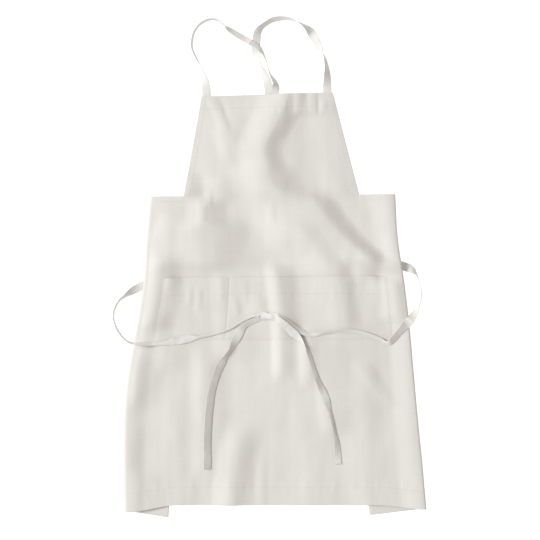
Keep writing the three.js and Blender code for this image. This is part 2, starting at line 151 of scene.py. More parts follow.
def makeStudio():
    # a round lamp at a tilt and a turn from overhead, as strong as its distance squared asks for
    far = studio["windowFar"] * mm
    tilt, turn = np.radians(studio["windowTilt"]), np.radians(studio["windowTurn"])
    light = bpy.data.lights.new("window", "AREA")
    light.shape = "DISK"
    light.size = studio["windowWide"] * mm
    light.energy = studio["windowStrength"] * np.pi * far**2
    light.color = studio["windowColour"]
    lamp = bpy.data.objects.new("window", light)
    aside = far * np.sin(tilt)
    lamp.location = (aside * np.cos(turn), aside * np.sin(turn), far * np.cos(tilt))
    lamp.rotation_euler = (0, tilt, turn)
    bpy.context.scene.collection.objects.link(lamp)

    room = bpy.data.worlds.new("room")
    room.use_nodes = True
    glow = room.node_tree.nodes["Background"]
    glow.inputs["Color"].default_value = (*studio["roomColour"], 1)
    glow.inputs["Strength"].default_value = studio["roomStrength"]
    bpy.context.scene.world = room
    bpy.context.scene.view_settings.view_transform = "Standard"

    half = studio["floorSize"] / 2 * mm
    low = -studio["floorDrop"] * mm
    sheet = bpy.data.meshes.new("floor")
    corners = [(-half, -half, low), (half, -half, low), (half, half, low), (-half, half, low)]
    sheet.from_pydata(corners, [], [(0, 1, 2, 3)])
    floor = bpy.data.objects.new("floor", sheet)
    bpy.context.scene.collection.objects.link(floor)
    paint = bpy.data.materials.new("white_floor")
    paint.use_nodes = True
    shader = paint.node_tree.nodes["Principled BSDF"]
    shader.inputs["Base Color"].default_value = (*studio["floorColour"], 1)
    shader.inputs["Roughness"].default_value = 1
    shader.inputs["Specular IOR Level"].default_value = 0
    shader.inputs["Emission Color"].default_value = (1, 1, 1, 1)
    shader.inputs["Emission Strength"].default_value = studio["floorGlow"]
    sheet.materials.append(paint)


makeStudio()
print("camera, light and floor made")


# Linen: one weave group, placed in each cloth's material with its own values

weaveLook = {
    "thread": (0.55, 0.006, 2),  # noise across a thread, along it, and its detail
    "streak": (0.11, 0.0016, 3),
    "patch": (0.022, 0.016, 4),
    "warpTone": 0.5, "weftTone": 0.35, "streakTone": 0.35, "patchTone": 0.25, "wholeTone": 0.62,
    "overUnderRelief": 0.5, "threadRelief": 1.6, "slubRelief": 2.0,
    "slubPower": 5,
}


def makeWeaveGroup():
    # plain weave of round threads, uneven in thickness along each thread, with slubs, streaks and patches
    group = bpy.data.node_groups.new("linen weave", "ShaderNodeTree")
    face = group.interface
    for name, kind in (("Cloth", "Vector"), ("Threads per metre", "Float"), ("Slubs", "Float")):
        face.new_socket(name, in_out="INPUT", socket_type="NodeSocket" + kind)
    for name in ("Tone", "Relief"):
        face.new_socket(name, in_out="OUTPUT", socket_type="NodeSocketFloat")
    nodes = group.nodes
    link = group.links.new
    given = nodes.new("NodeGroupInput")
    result = nodes.new("NodeGroupOutput")

    def maths(operation, first, second=None):
        # a Math node with a number or a link in each socket
        node = nodes.new("ShaderNodeMath")
        node.operation = operation
        for socket, value in zip(node.inputs, (first, second)):
            if isinstance(value, (int, float)):
                socket.default_value = value
            elif value is not None:
                link(value, socket)
        return node.outputs[0]

    split = nodes.new("ShaderNodeSeparateXYZ")
    link(given.outputs["Cloth"], split.inputs[0])
    across = maths("MULTIPLY", split.outputs[0], given.outputs["Threads per metre"])
    up = maths("MULTIPLY", split.outputs[1], given.outputs["Threads per metre"])

    def noise(acrossShare, upShare, detail):
        # soft noise of the place counted in threads, stretched on its own across and up
        place = nodes.new("ShaderNodeCombineXYZ")
        link(maths("MULTIPLY", across, acrossShare), place.inputs[0])
        link(maths("MULTIPLY", up, upShare), place.inputs[1])
        node = nodes.new("ShaderNodeTexNoise")
        node.noise_dimensions = "2D"
        node.inputs["Scale"].default_value = 1
        node.inputs["Detail"].default_value = detail
        link(place.outputs[0], node.inputs["Vector"])
        return node.outputs["Fac"]

    def weighed(value, name):
        # a value times its weight
        return maths("MULTIPLY", value, weaveLook[name])

    # over and under: the product of two waves, one thread to each half wave
    waveAcross = maths("SINE", maths("MULTIPLY", across, np.pi))
    waveUp = maths("SINE", maths("MULTIPLY", up, np.pi))
    overUnder = maths("MULTIPLY", waveAcross, waveUp)

    # thread thickness: noise stretched a hundredfold along the warp or the weft
    wide, long, detail = weaveLook["thread"]
    warp = noise(wide, long, detail)
    weft = noise(long, wide, detail)
    streak = noise(*weaveLook["streak"])
    patch = noise(*weaveLook["patch"])
    threadTone = maths("ADD", weighed(warp, "warpTone"), weighed(weft, "weftTone"))
    slub = maths("POWER", maths("MAXIMUM", warp, weft), weaveLook["slubPower"])
    slubTone = maths("MULTIPLY", slub, given.outputs["Slubs"])
    streaks = maths("ADD", weighed(streak, "streakTone"), weighed(patch, "patchTone"))
    tone = maths("ADD", maths("ADD", threadTone, streaks), slubTone)
    link(weighed(tone, "wholeTone"), result.inputs["Tone"])
    relief = maths("ADD", weighed(overUnder, "overUnderRelief"), weighed(threadTone, "threadRelief"))
    link(maths("ADD", relief, weighed(slubTone, "slubRelief")), result.inputs["Relief"])
    return group


weaveGroup = makeWeaveGroup()
linenFinish = {"specular": 0.25, "sheenRoughness": 0.6, "reliefDepth": 0.2}
mixFrom, mixTo, mixResult = 6, 7, 2  # the Mix node's colour sockets


def makeLinen(name, linen):
    # base colour from dark to pale thread by the weave's tone, relief by a bump
    material = bpy.data.materials.new(name)
    material.use_nodes = True
    nodes = material.node_tree.nodes
    link = material.node_tree.links.new
    shader = nodes["Principled BSDF"]
    shader.inputs["Roughness"].default_value = linen["roughness"]
    shader.inputs["Specular IOR Level"].default_value = linenFinish["specular"]
    shader.inputs["Sheen Weight"].default_value = linen["sheen"]
    shader.inputs["Sheen Roughness"].default_value = linenFinish["sheenRoughness"]
    cloth = nodes.new("ShaderNodeUVMap")
    cloth.uv_map = "cloth"
    weave = nodes.new("ShaderNodeGroup")
    weave.node_tree = weaveGroup
    weave.inputs["Threads per metre"].default_value = linen["threads"]
    weave.inputs["Slubs"].default_value = linen["slubs"]
    link(cloth.outputs["UV"], weave.inputs["Cloth"])
    tint = nodes.new("ShaderNodeMix")
    tint.data_type = "RGBA"
    tint.inputs[mixFrom].default_value = (*linen["dark"], 1)
    tint.inputs[mixTo].default_value = (*linen["pale"], 1)
    link(weave.outputs["Tone"], tint.inputs[0])
    link(tint.outputs[mixResult], shader.inputs["Base Color"])
    bump = nodes.new("ShaderNodeBump")
    bump.inputs["Strength"].default_value = linen["bump"]
    bump.inputs["Distance"].default_value = linenFinish["reliefDepth"] * mm
    link(weave.outputs["Relief"], bump.inputs["Height"])
    link(bump.outputs["Normal"], shader.inputs["Normal"])
    return material


plainLinen = {"threads": 1500, "slubs": 0.9, "bump": 0.35, "roughness": 0.92, "sheen": 0.12}
bodyLinen = makeLinen("body_linen", {
    **plainLinen, "dark": (0.665, 0.632, 0.592), "pale": (0.745, 0.72, 0.686),
})
pocketLinen = makeLinen("pocket_linen", {
    **plainLinen, "dark": (0.66, 0.627, 0.586), "pale": (0.74, 0.715, 0.68),
})
# the tapes' linen is paler and less warm than the body's: painted light, the brighter look of the lit
# straps and ties put into their colour
tapeLinenPaintedLight = makeLinen("tape_linen", {
    **plainLinen, "dark": (0.70, 0.675, 0.64), "pale": (0.79, 0.768, 0.738),
    "threads": 1650, "slubs": 0.7, "bump": 0.3,
})
threadLinen = makeLinen("thread_linen", {
    "dark": (0.64, 0.607, 0.563), "pale": (0.745, 0.717, 0.68),
    "threads": 2600, "slubs": 0.2, "bump": 0.2, "roughness": 0.85, "sheen": 0.05,
})
print("linen made")


# Meshes from arrays

def makeMesh(name, points, faces, uvs, material):
    # points in mm and one uv in metres for each point; faces are quads
    used, index = np.unique(faces, return_inverse=True)
    faces = index.reshape(faces.shape)
    mesh = bpy.data.meshes.new(name)
    mesh.vertices.add(len(used))
    mesh.vertices.foreach_set("co", (points[used] * mm).astype(np.float32).ravel())
    mesh.loops.add(faces.size)
    mesh.loops.foreach_set("vertex_index", faces.astype(np.int32).ravel())
    mesh.polygons.add(len(faces))
    mesh.polygons.foreach_set("loop_start", np.arange(0, faces.size, 4, dtype=np.int32))
    mesh.polygons.foreach_set("use_smooth", np.ones(len(faces), bool))
    layer = mesh.uv_layers.new(name="cloth")
    layer.data.foreach_set("uv", uvs[used][faces.ravel()].astype(np.float32).ravel())
    mesh.update(calc_edges=True)
    mesh.validate()
    mesh.materials.append(material)
    piece = bpy.data.objects.new(name, mesh)
    bpy.context.scene.collection.objects.link(piece)
    return piece


def gridNormals(points, cells):
    # the unit sum of the crossed diagonals of the cloth cells round each point
    lean = np.cross(points[1:, 1:] - points[:-1, :-1], points[1:, :-1] - points[:-1, 1:])
    lean = unit(lean) * cells[..., None]
    normals = np.zeros_like(points)
    for rows in (slice(None, -1), slice(1, None)):
        for columns in (slice(None, -1), slice(1, None)):
            normals[rows, columns] += lean
    return unit(normals)


def clothWall(name, points, cells, thickness, uvs, material):
    # two faces half a thickness either side of the grid, and a rounded rim along every free edge
    rows, columns = points.shape[:2]
    normals = gridNormals(points, cells)
    half = 0.5 * thickness[..., None] * normals
    index = np.arange(rows * columns).reshape(rows, columns)
    a, b, c, d = index[:-1, :-1], index[:-1, 1:], index[1:, 1:], index[1:, :-1]
    square = np.stack([a, b, c, d], -1)[cells]
    ring = np.pad(cells, 1)
    middle = ring[1:-1, 1:-1]
    free = [
        (middle & ~ring[:-2, 1:-1], a, b),
        (middle & ~ring[1:-1, 2:], b, c),
        (middle & ~ring[2:, 1:-1], c, d),
        (middle & ~ring[1:-1, :-2], d, a),
    ]
    first = np.concatenate([start[mask] for mask, start, end in free])
    second = np.concatenate([end[mask] for mask, start, end in free])

    # the rim bulges out by half the thickness, away from the cloth at each free edge
    flat = points.reshape(-1, 3)
    outward = np.zeros_like(flat)
    lean = unit(np.cross(flat[second] - flat[first], normals.reshape(-1, 3)[first]))
    np.add.at(outward, first, lean)
    np.add.at(outward, second, lean)
    bulge = flat + unit(outward) * 0.5 * thickness.reshape(-1, 1)
    toBack = rows * columns
    toRim = 2 * toBack
    upper = np.stack([first + toRim, second + toRim, second, first], -1)
    lower = np.stack([first + toBack, second + toBack, second + toRim, first + toRim], -1)
    corners = np.concatenate([(points + half).reshape(-1, 3), (points - half).reshape(-1, 3), bulge])
    faces = np.concatenate([square, square[:, ::-1] + toBack, upper, lower])
    return makeMesh(name, corners, faces, np.tile(uvs.reshape(-1, 2), (3, 1)), material)


# Shape of the laid cloth, in the same sizes as the solids

skirt = {
    "left": [-304, -306, -305, -297, -280, -264.5, -257.5, -249],  # side folds, hem to top
    "right": [328, 320, 310.5, 302, 293.5, 282.5, 268.5, 263],
    "hemY": -498.5,
    "droopLeft": 13.5,  # how far the hem's corners hang, over a share of the width
    "droopRight": 8,
    "droopReach": 0.17,
    "topLeft": 147,
    "topRight": 152,
    "leftBulge": 8,  # how far a side fold rounds out past the flat front
    "rightBulge": 4,
}
bib = {
    "from": 0.123,  # shares of the front's width
    "to": 0.857,
    "left": -142,
    "right": 132,
    "leftY": 357,
    "rightY": 365,
}
wings = {
    "left": {"hemWidth": 83, "topWidth": 150, "slope": 0.157},
    "right": {"hemWidth": 113, "topWidth": 165, "slope": 0.1215},
    "lift": 2.2,  # off the table towards the top, between two shares of the length
    "liftFrom": 0.58,
    "liftTo": 0.68,
}
level = {"rest": 1.4, "overWing": 3.7, "reach": 70}  # height on the table, more of it over a wing


def ridge(top, bottom, crest, height, rise, fall, fade, sharp=0):
    # one fold from y of its top down to its bottom: the crest lists x at even steps, the cloth climbs to
    # it over rise on its left and drops over fall on its right, and fade softens both ends; with a sharp
    # of 1 the drop is steepest at the crest and with 0 halfway down
    return {"top": top, "bottom": bottom, "crest": crest, "height": height, "rise": rise, "fall": fall,
            "fade": fade, "sharp": sharp}


# main folds of the front: top, bottom, crest, height, rise, fall, fade and sharp
folds = [
    ridge(385, 205, [46, 30, 9, -13, -6], 14, 60, 42, 44, 0.4),
    ridge(207, 145, [-12, -4, 9, 28], 14, 100, 72, 44, 0.4),
    ridge(150, 0, [82, 103, 126, 152, 188, 222], 17, 170, 52, 50, 0.25),
    ridge(95, -5, [50, 72, 96, 122], 8, 90, 46, 40, 0.3),
    ridge(200, 40, [-22, -4, 18, 40], 7, 70, 120, 60),
    ridge(30, -28, [208, 196], 4, 34, 32, 30, 0.3),
    ridge(138, 85, [-134, -134], 8, 44, 46, 30),
    ridge(95, -5, [-130, -126, -116], 14, 110, 115, 40),
    ridge(165, 0, [-186, -200, -205], 6, 75, 110, 40),
    ridge(82, 10, [-230, -230], 4, 28, 40, 40),
    ridge(20, -125, [-226, -236, -250], 13, 40, 52, 40, 0.5),
    ridge(-10, -115, [-89, -87], 5, 36, 50, 30),
    ridge(-105, -290, [-248, -266, -282], 7, 30, 52, 50, 0.2),
    ridge(-190, -540, [-284, -294, -298, -298], 4.5, 24, 36, 40),
    ridge(160, -540, [251, 268, 290, 301, 311, 324], 8, 46, 22, 60, 0.3),
    ridge(-30, -110, [252, 262], 7, 36, 30, 30),
    ridge(62, -6, [266, 272], 4, 32, 16, 30),
    ridge(-58, -105, [-27, -23], 3, 30, 24, 30),
    ridge(-340, -540, [-297, -300], 3, 20, 40, 50),
    ridge(-5, -125, [13, 22, 28], 7, 130, 110, 40, 0.3),
    ridge(0, -130, [13, 22, 28], 8, 26, 42, 40, 0.5),
    ridge(-115, -224, [25, 26, 26], 10, 22, 48, 56, 0.3),
    ridge(5, -125, [138, 148, 156], 9, 84, 38, 40, 0.2),
    ridge(-150, -212, [-212, -212], 5, 32, 46, 40),
    ridge(-110, -190, [-82, -82], 5, 40, 70, 36),
    ridge(-140, -235, [84, 90], 8, 36, 100, 60),
    ridge(-130, -320, [95, 100], 6, 240, 180, 80),
    ridge(-235, -345, [114, 128], 4, 24, 60, 40),
    ridge(-180, -440, [-134, -134], 6, 32, 60, 60),
    ridge(-345, -540, [-61, -76, -84], 11, 42, 48, 80, 0.3),
    ridge(-430, -540, [-268, -268], 4, 30, 50, 40),
    ridge(-290, -520, [84, 88], 3, 44, 90, 60),
    ridge(-210, -500, [204, 204], 2, 40, 36, 60, 0.3),
    ridge(318, 170, [-98, -104, -112], 4, 60, 60, 40),
    ridge(350, 150, [-10, -10], 6, 130, 150, 60),
    ridge(385, 320, [70, 64], 4, 24, 80, 30),
    ridge(345, 150, [122, 132, 146], 3, 44, 40, 40),
    ridge(420, 318, [122, 122], 1.9, 40, 40, 30),
    ridge(420, 312, [-132, -132], 1.9, 40, 40, 30),
]

# small creases of the laid linen, in the same order
creases = [
    ridge(352, 285, [-118, -104, -92], 2.4, 16, 12, 30),
    ridge(285, 225, [-94, -76], 4, 28, 56, 40),
    ridge(375, 322, [68, 68], 3.5, 18, 26, 20),
    ridge(372, 322, [92, 92], 2.2, 12, 8, 16),
    ridge(352, 326, [112, 114], 1, 7, 7, 14),
    ridge(195, 150, [-175, -174], 6, 22, 40, 26),
    ridge(190, 140, [-104, -100], 6.5, 40, 50, 36),
    ridge(155, 125, [-126, -127], 1.4, 9, 6, 16),
    ridge(142, 92, [-141, -139], 1.8, 13, 10, 24),
    ridge(110, 70, [-208, -214, -220], 1.6, 22, 30, 30),
    ridge(132, 92, [4, 6], 1.1, 14, 8, 20),
    ridge(-44, -78, [-166, -167], 0.9, 9, 7, 16),
    ridge(-46, -90, [-148, -149], 1.2, 9, 7, 16),
    ridge(-24, -70, [-102, -102], 0.9, 8, 6, 16),
    ridge(-66, -98, [-73, -66], 1, 9, 6, 12),
    ridge(-30, -76, [-53, -52], 0.9, 10, 8, 16),
    ridge(-150, -245, [75, 78], 2.6, 14, 26, 40),
    ridge(-205, -285, [194, 249], 2, 26, 24, 30),
    ridge(-225, -390, [-194, -206], 1.2, 40, 28, 50),
    ridge(-290, -440, [-205, -206], 1.5, 24, 30, 50),
    ridge(-310, -520, [-173, -173], 1.5, 30, 34, 50),
    ridge(-410, -520, [-15, -17], 1, 14, 12, 30),
]

# cloth never lies dead flat: soft waves, long streaks down the warp and a fine crumple
wrinkles = [
    {"size": (130, 170), "height": 2.4, "seed": 11},
    {"size": (54, 80), "height": 2.0, "seed": 12},
    {"size": (36, 44), "height": 0.9, "seed": 15},
    {"size": (20, 210), "height": 0.6, "seed": 13},
    {"size": (22, 30), "height": 0.45, "seed": 14},
]
crestRound = 3.5  # radius that blunts every crest

# short ripples pulled up by a hem seam, strongest on the seam
puckers = [
    {"seamY": -458, "size": (11, 70), "height": 0.9, "reach": 15, "seed": 16},
    {"seamY": 332, "size": (10, 70), "height": 0.8, "reach": 14, "seed": 17},
]


def foldHeight(fold, x, y):
    # climb to the crest along a smooth step and drop from it along a mix of a smooth step and a square,
    # eased in and out at its ends
    past = x - along(fold["crest"], (fold["top"] - y) / (fold["top"] - fold["bottom"]))
    reach = np.where(past < 0, fold["rise"], fold["fall"])
    left = np.clip(1 - (np.hypot(past, crestRound) - crestRound) / reach, 0, 1)
    start = ease((fold["top"] - y) / fold["fade"] + 0.5)
    end = ease((y - fold["bottom"]) / fold["fade"] + 0.5)
    sharp = np.where(past < 0, 0, fold["sharp"])
    return fold["height"] * start * end * mix(ease(left), left**2, sharp)


def wingShare(x, y):
    # 1 where a wing lies under the front, easing to 0 over the reach past its free edge
    up = (y - skirt["hemY"]) / (skirt["topLeft"] - skirt["hemY"])
    left = wings["left"]
    right = wings["right"]
    leftInner = mix(skirt["left"][0] + left["hemWidth"], skirt["left"][-1] + left["topWidth"], up)
    rightInner = mix(skirt["right"][0] - right["hemWidth"], skirt["right"][-1] - right["topWidth"], up)
    beside = ease((leftInner - x) / level["reach"] + 1) + ease((x - rightInner) / level["reach"] + 1)
    return beside * ease((skirt["topLeft"] + level["reach"] - y) / level["reach"])


def frontHeight(x, y):
    # middle of the cloth over the table: its level, then every fold, crease and wrinkle on top
    height = level["rest"] + level["overWing"] * wingShare(x, y)
    for fold in folds + creases:
        height = height + foldHeight(fold, x, y)
    for wave in wrinkles:
        height = height + wave["height"] * (0.5 + 0.5 * softNoise(x, y, wave["size"], wave["seed"]))
    for pucker in puckers:
        near = np.exp(-((y - pucker["seamY"]) / pucker["reach"]) ** 2)
        ripple = np.clip(softNoise(x, y, pucker["size"], pucker["seed"]), 0, 1)
        height = height + pucker["height"] * near * ripple
    return height


def skirtPlace(across, up):
    # straight mix between the side folds and between the drooping hem and the top edge
    left = along(skirt["left"], up) + skirt["leftBulge"]
    right = along(skirt["right"], up) - skirt["rightBulge"]
    droop = skirt["droopLeft"] * ease(1 - across / skirt["droopReach"])
    droop = droop + skirt["droopRight"] * ease(1 - (1 - across) / skirt["droopReach"])
    top = mix(skirt["topLeft"], skirt["topRight"], across)
    return mix(left, right, across), mix(skirt["hemY"] - droop, top, up)


def bibPlace(across, up):
    # straight mix from the skirt's top edge to the bib's top edge
    share = (across - bib["from"]) / (bib["to"] - bib["from"])
    x, y = skirtPlace(across, np.ones_like(up))
    topX = mix(bib["left"], bib["right"], share)
    topY = mix(bib["leftY"], bib["rightY"], share)
    return mix(x, topX, up), mix(y, topY, up)


def frontPoint(across, up):
    # up runs from 0 at the hem through 1 at the skirt's top to 2 at the bib's top
    x, y = skirtPlace(across, np.clip(up, 0, 1))
    bibX, bibY = bibPlace(across, np.clip(up - 1, 0, 1))
    x = np.where(up > 1, bibX, x)
    y = np.where(up > 1, bibY, y)
    return np.stack([x, y, frontHeight(x, y)], -1)


# Body: front, side folds and wings as one grid

body = {
    "thickness": 1.1,
    "hemThickness": 1.5,
    "bottomHem": 0.062,  # share of the skirt's length
    "skirtTopHem": 0.98,
    "bibSideHem": 0.027,  # share of the front's width
    "bibTopHem": 0.86,  # share of the bib's length
    "wingHem": 0.9,
    "hemEdge": 0.0026,  # how sharply a hem's inner edge steps down, on the skirt, the bib's top and a wing
    "bibHemEdge": 0.0078,
    "wingHemEdge": 0.02,
    "cornerBand": 0.003,  # narrow columns and rows beside the bib's sides and along every edge
    "edgeBand": 0.002,
    "bibEdgeBand": 0.006,
    "foldAngles": [75, 55, 35, 15, -5, -25, -45, -65, -85],
}


def hemShare(distance, edge):
    # 1 inside a hem and 0 outside, with a smooth step as wide as the edge
    return ease(0.5 + distance / edge)


def inBib(first, last):
    # whether what runs from first to last lies between the bib's sides
    return (first >= bib["from"] - nearly) & (last <= bib["to"] + nearly)


def bodyLines():
    # columns across and rows up the front, closest where a hem steps down and along the edges
    fine, bibFine = body["hemEdge"], body["bibHemEdge"]
    corner, edge, bibEdge = body["cornerBand"], body["edgeBand"], body["bibEdgeBand"]
    side = body["bibSideHem"]
    bottomHem, skirtTop, bibTop = body["bottomHem"], body["skirtTopHem"], 1 + body["bibTopHem"]
    across = spread([
        (0, 19), (bib["from"] - corner, 1), (bib["from"], 1), (bib["from"] + corner, 5),
        (bib["from"] + side - fine, 2), (bib["from"] + side + fine, 108),
        (bib["to"] - side - fine, 2), (bib["to"] - side + fine, 5),
        (bib["to"] - corner, 1), (bib["to"], 1), (bib["to"] + corner, 22), (1, 1),
    ])
    up = spread([
        (0, 1), (edge, 11), (bottomHem - fine, 2), (bottomHem + fine, 154),
        (skirtTop - fine, 2), (skirtTop + fine, 4), (1 - edge, 1), (1, 1), (1 + bibEdge, 46),
        (bibTop - bibFine, 2), (bibTop + bibFine, 8), (2 - bibEdge, 1), (2, 1),
    ])
    return across, up


def bodyThickness(across, up):
    # hems are thicker: along the bottom, the skirt's top edges, and the bib's sides and top
    fine = body["hemEdge"]
    side = body["bibSideHem"]
    hem = hemShare(body["bottomHem"] - up, fine)
    topHem = hemShare(up - body["skirtTopHem"], fine)
    hem = np.maximum(hem, np.where(inBib(across, across), 0, topHem))
    beside = np.maximum(bib["from"] + side - across, across - bib["to"] + side)
    overTop = hemShare(up - 1 - body["bibTopHem"], body["bibHemEdge"])
    bibHem = np.maximum(hemShare(beside, fine), overTop)
    hem = np.maximum(hem, np.where(up > 1, bibHem, 0))
    return mix(body["thickness"], body["hemThickness"], hem)


def sideSheet(side, up):
    # the round of a side fold, then the wing lying flat under the front, and its unfolded place
    outward = -1 if side == "left" else 1
    wing = wings[side]
    edge = frontPoint(np.full_like(up, max(outward, 0)), up)[:, None]
    turn = np.radians(body["foldAngles"])[None]
    half = body["wingHemEdge"] / 2
    inward = spread([(0, 9), (body["wingHem"] - half, 1), (body["wingHem"] + half, 3), (1, 1)])[None]
    lift = wings["lift"] * ease((up - wings["liftFrom"]) / (wings["liftTo"] - wings["liftFrom"]))
    distance = inward * mix(wing["hemWidth"], wing["topWidth"], up)[:, None]
    bottomHem = hemShare(body["bottomHem"] - up, half)[:, None]
    innerHem = hemShare(inward - body["wingHem"], body["wingHemEdge"])
    wingThickness = mix(body["thickness"], body["hemThickness"], np.maximum(bottomHem, innerHem))
    foldThickness = np.repeat(wingThickness[:, :1], turn.size, 1)

    bulge = skirt[side + "Bulge"]
    foldX = edge[..., 0] + outward * bulge * np.cos(turn)
    low = body["hemThickness"] / 2 + lift[:, None]
    foldZ = mix(low, edge[..., 2], 0.5 + 0.5 * np.sin(turn))
    foldY = np.broadcast_to(edge[..., 1], foldX.shape)
    wingX = edge[..., 0] - outward * distance
    wingY = edge[..., 1] - distance * wing["slope"]
    wingZ = np.broadcast_to(low, wingX.shape)
    folded = np.stack([foldX, foldY, foldZ], -1)
    points = np.concatenate([folded, np.stack([wingX, wingY, wingZ], -1)], 1)
    run = np.concatenate([bulge * (np.pi / 2 - turn) + 0 * foldX, bulge * np.pi + distance], 1)
    uvs = np.stack([edge[..., 0] + outward * run, points[..., 1]], -1)
    return points, np.concatenate([foldThickness, wingThickness], 1), uvs


def makeBody():
    # left wing and fold, front, right fold and wing side by side; the bib's rows keep its columns alone
    across, up = bodyLines()
    acrossGrid, upGrid = np.meshgrid(across, up)
    middle = frontPoint(acrossGrid, upGrid)
    thickness = bodyThickness(acrossGrid, upGrid)
    skirtUp = np.clip(up, 0, 1)
    leftPoints, leftThickness, leftUvs = sideSheet("left", skirtUp)
    rightPoints, rightThickness, rightUvs = sideSheet("right", skirtUp)
    points = np.concatenate([leftPoints[:, ::-1], middle, rightPoints], 1)
    thick = np.concatenate([leftThickness[:, ::-1], thickness, rightThickness], 1)
    uvs = np.concatenate([leftUvs[:, ::-1], middle[..., :2], rightUvs], 1) * mm
    isSkirt = up[1:] <= 1
    start = leftPoints.shape[1]
    isBib = np.zeros(points.shape[1] - 1, bool)
    isBib[start:start + len(across) - 1] = inBib(across[:-1], across[1:])
    cells = isSkirt[:, None] | isBib[None]
    return clothWall("apron_cloth", points, cells, thick, uvs, bodyLinen)


apronCloth = makeBody()
print("body laid:", len(apronCloth.data.polygons), "faces")


# Pocket: the front's own surface lifted off it, open along its top edge

pocket = {
    "from": 0.064,  # shares of the front's width, then of the skirt's length
    "division": 0.3226,
    "to": 0.94,
    "bottom": 0.534,
    "top": 0.7375,
    "tall": 139,
    "seamLift": 0.62,  # over the front along its seams, and inside them
    "offFront": 1.3,
    "leaveSides": 12,  # how soon it leaves its seams
    "leaveBottom": 8,
    "groove": 0.4,
    "grooveWidth": 0.0022,
    "mouth": 0.7,
    "gapes": [(-202, 26), (220, 20)],  # x and half width where the mouth stands open
    "gape": 2.6,
    "mouthCurve": 1.5,
    "thickness": 1.1,
    "edgeThickness": 0.2,
    "hemThickness": 1.3,
    "topHem": 0.71,  # share of the pocket's height where its top hem starts
    "hemEdge": 0.005,
    "turnIn": 0.014,  # turned-in edge along its sides and bottom, share of its width
    "turnInUp": 1.25,  # what makes a share of the length as wide as one of the width
    "edgeBand": 0.002,  # narrow columns and rows along its edges, its division and its hems
    "divisionBand": 0.003,
    "bottomBand": 0.011,
    "hemBand": 0.0015,
    "sideSeam": 0.007,
    "bottomSeam": 0.006,
    "ripple": {"size": (10, 60), "height": 0.45, "reach": 14, "seed": 31},  # along its top hem
    "cutFrom": 0.31,  # where in the weave it is cut
}


def pocketPoint(across, up):
    # the front lifted by the seam and by half a wave across each mouth, growing towards the top
    start = np.where(across < pocket["division"], pocket["from"], pocket["division"])
    end = np.where(across < pocket["division"], pocket["division"], pocket["to"])
    between = np.clip((across - start) / (end - start), 0, 1)
    height = np.clip((up - pocket["bottom"]) / (pocket["top"] - pocket["bottom"]), 0, 1)
    fromSide = np.minimum(between, 1 - between)
    inside = ease(np.minimum(fromSide * pocket["leaveSides"], height * pocket["leaveBottom"]))
    lift = mix(pocket["seamLift"], pocket["offFront"], inside)
    fromDivision = (across - pocket["division"]) / pocket["grooveWidth"]
    lift = lift - pocket["groove"] * np.exp(-fromDivision ** 2)
    point = frontPoint(across, up)
    mouth = pocket["mouth"] * np.sin(np.pi * between)
    for x, half in pocket["gapes"]:
        mouth = mouth + pocket["gape"] * ease(1 - np.abs(point[..., 0] - x) / half) * inside
    lift = lift + mouth * height ** pocket["mouthCurve"]
    ripple = pocket["ripple"]
    away = np.abs(height - pocket["topHem"]) * pocket["tall"] / ripple["reach"]
    wave = softNoise(point[..., 0], point[..., 1], ripple["size"], ripple["seed"]) * np.exp(-away ** 2)
    point[..., 2] += lift + ripple["height"] * (wave + 0.5) * np.sin(np.pi * between) ** 0.5
    return point


def makePocket():
    # a grid over the pocket, thin along its turned-in edge and thick in its top hem
    start, division, end = pocket["from"], pocket["division"], pocket["to"]
    bottom, top = pocket["bottom"], pocket["top"]
    edgeBand, divisionBand, hemBand = pocket["edgeBand"], pocket["divisionBand"], pocket["hemBand"]
    turnIn = pocket["turnIn"]
    hemUp = mix(bottom, top, pocket["topHem"])
    across = spread([
        (start, 1), (start + edgeBand, 3), (start + turnIn, 38),
        (division - divisionBand, 2), (division, 2), (division + divisionBand, 96),
        (end - turnIn, 3), (end - edgeBand, 1), (end, 1),
    ])
    up = spread([
        (bottom, 1), (bottom + edgeBand, 2), (bottom + pocket["bottomBand"], 28),
        (hemUp - hemBand, 2), (hemUp + hemBand, 12), (top - edgeBand, 1), (top, 1),
    ])
    a, u = np.meshgrid(across, up)
    points = pocketPoint(a, u)
    edge = np.minimum(np.minimum(a - start, end - a), (u - bottom) * pocket["turnInUp"])
    thickness = mix(pocket["thickness"], pocket["hemThickness"], hemShare(u - hemUp, pocket["hemEdge"]))
    thickness = mix(pocket["edgeThickness"], thickness, ease(edge / turnIn))
    cells = np.ones((len(up) - 1, len(across) - 1), bool)
    uvs = points[..., :2] * mm + pocket["cutFrom"]
    return clothWall("patch_pocket", points, cells, thickness, uvs, pocketLinen)


patchPocket = makePocket()
print("pocket sewn on:", len(patchPocket.data.polygons), "faces")


# What lies on the table so far, as the highest point in each small square

laid = {
    "cell": 2,
    "left": -350,
    "near": -550,
    "heights": np.zeros((560, 360)),
    "samples": 480,  # across and up a cloth that is noted here
    "overPocket": 0.8,
}


def squareAt(x, y):
    # whole cells from the table's near left corner
    row = ((y - laid["near"]) / laid["cell"]).astype(int)
    column = ((x - laid["left"]) / laid["cell"]).astype(int)
    return row, column


def layDown(points, above):
    # raises the squares that hold the points to the points' height and a little above
    flat = points.reshape(-1, 3)
    np.maximum.at(laid["heights"], squareAt(flat[:, 0], flat[:, 1]), flat[:, 2] + above)


def heightUnder(x, y):
    # top of what lies there
    return laid["heights"][squareAt(x, y)]


def gridOf(acrossFrom, acrossTo, upFrom, upTo):
    # even places over a part of the front
    across = np.linspace(acrossFrom, acrossTo, laid["samples"])
    return np.meshgrid(across, np.linspace(upFrom, upTo, laid["samples"]))


layDown(frontPoint(*gridOf(0, 1, 0, 1)), body["thickness"] / 2)
layDown(frontPoint(*gridOf(bib["from"], bib["to"], 1, 2)), body["hemThickness"] / 2)
pocketGrid = gridOf(pocket["from"], pocket["to"], pocket["bottom"], pocket["top"])
layDown(pocketPoint(*pocketGrid), laid["overPocket"])


